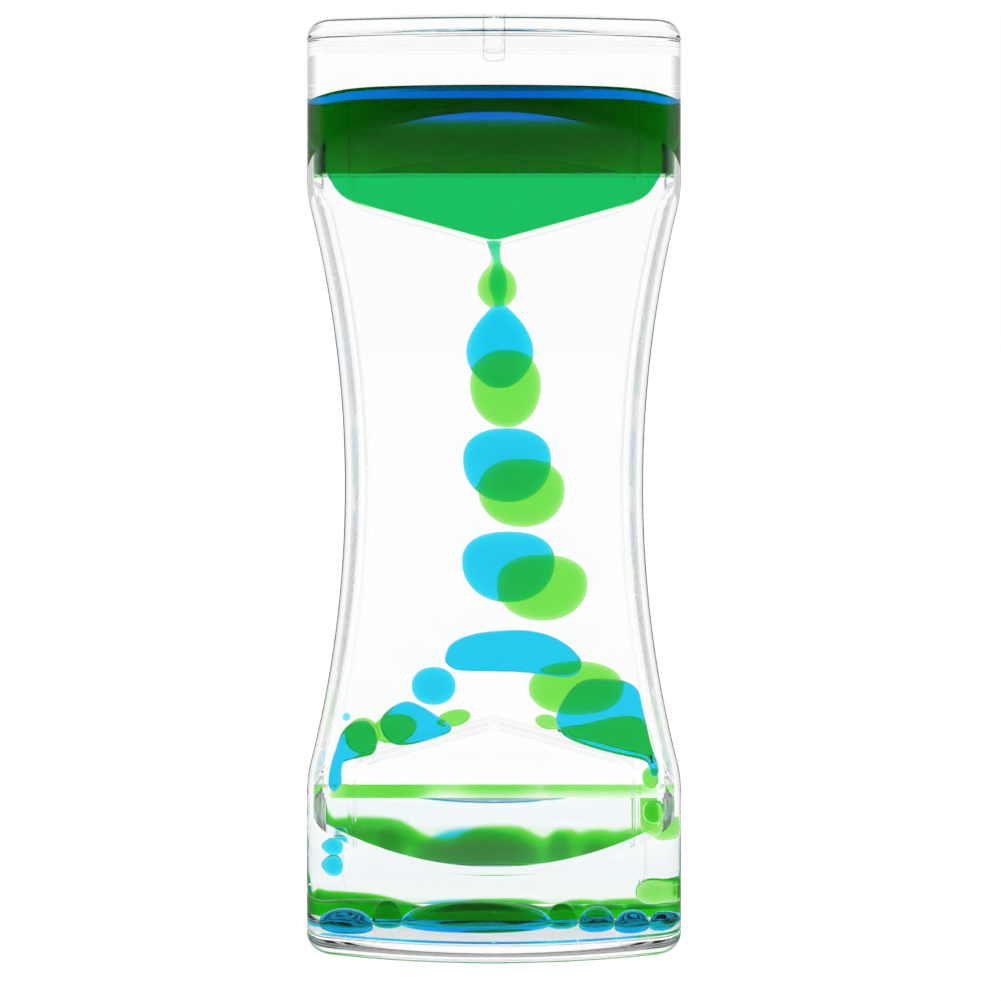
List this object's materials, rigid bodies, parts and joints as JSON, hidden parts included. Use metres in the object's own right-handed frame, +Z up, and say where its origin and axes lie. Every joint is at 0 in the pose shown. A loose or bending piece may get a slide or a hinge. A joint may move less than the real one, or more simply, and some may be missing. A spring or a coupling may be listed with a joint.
{
  "type": "liquid motion timer",
  "caption": "Clear waisted case with sealed front and rear chambers; coloured liquid drips through a funnel, falls as flat drops through clear oil and settles below. Turned over to restart.",
  "frame": {"origin": "centre of the base face, on the surface it stands on", "axes": "+Z up along the height, +X along the width, -Y towards the front face"},
  "size_m": [0.0576, 0.03, 0.143],
  "materials": {
    "clear_case": "polished clear polystyrene",
    "clear_insert": "polished clear polystyrene",
    "plug": "clear, slightly frosted",
    "blue_water": "dyed water, blue",
    "yellow_green_water": "dyed water, yellow-green",
    "clear_oil": "clear mineral oil"
  },
  "bodies": {
    "timer": {"case": "clear_case", "top_cap": "clear_case", "bottom_cap": "clear_case", "front_filler_plug": "plug", "rear_filler_plug": "plug", "channel_body": "clear_insert", "divider": "clear_insert", "upper_front_funnel": "clear_insert", "upper_rear_funnel": "clear_insert", "lower_front_funnel": "clear_insert", "lower_rear_funnel": "clear_insert", "blue_reservoir": "blue_water", "blue_pendant_drop": "blue_water", "blue_drop_4": "blue_water", "blue_small_drop": "blue_water", "blue_left_runoff": "blue_water", "blue_wall_runoff": "blue_water", "blue_right_runoff": "blue_water", "blue_duct_drops": "blue_water", "blue_settled_drops": "blue_water", "yellow_reservoir": "yellow_green_water", "yellow_pendant_drop": "yellow_green_water", "yellow_drop_4": "yellow_green_water", "yellow_left_runoff": "yellow_green_water", "yellow_right_runoff": "yellow_green_water", "yellow_duct_drops": "yellow_green_water", "yellow_settled_drops": "yellow_green_water", "front_oil": "clear_oil", "rear_oil": "clear_oil"},
    "blue_drop_2": {"blue_drop_2": "blue_water"},
    "blue_drop_3": {"blue_drop_3": "blue_water"},
    "yellow_drop_1": {"yellow_drop_1": "yellow_green_water"},
    "yellow_drop_2": {"yellow_drop_2": "yellow_green_water"},
    "yellow_drop_3": {"yellow_drop_3": "yellow_green_water"}
  },
  "joints": [
    {"name": "blue_drop_2_fall", "type": "slide", "parent": "timer", "child": "blue_drop_2", "axis": [0, 0, -1], "range_m": [-0.005, 0.0026], "deforming": ["front_oil"]},
    {"name": "blue_drop_3_fall", "type": "slide", "parent": "timer", "child": "blue_drop_3", "axis": [0, 0, -1], "range_m": [-0.005, 0.0026], "deforming": ["front_oil"]},
    {"name": "yellow_drop_1_fall", "type": "slide", "parent": "timer", "child": "yellow_drop_1", "axis": [0, 0, -1], "range_m": [-0.0055, 0.0045], "deforming": ["rear_oil"]},
    {"name": "yellow_drop_2_fall", "type": "slide", "parent": "timer", "child": "yellow_drop_2", "axis": [0, 0, -1], "range_m": [-0.0055, 0.0045], "deforming": ["rear_oil"]},
    {"name": "yellow_drop_3_fall", "type": "slide", "parent": "timer", "child": "yellow_drop_3", "axis": [0, 0, -1], "range_m": [-0.0055, 0.0045], "deforming": ["rear_oil"]}
  ],
  "couplings": [
    {"joint": "blue_drop_3_fall", "follows": "blue_drop_2_fall", "ratio": 1},
    {"joint": "yellow_drop_2_fall", "follows": "yellow_drop_1_fall", "ratio": 1},
    {"joint": "yellow_drop_3_fall", "follows": "yellow_drop_1_fall", "ratio": 1}
  ]
}
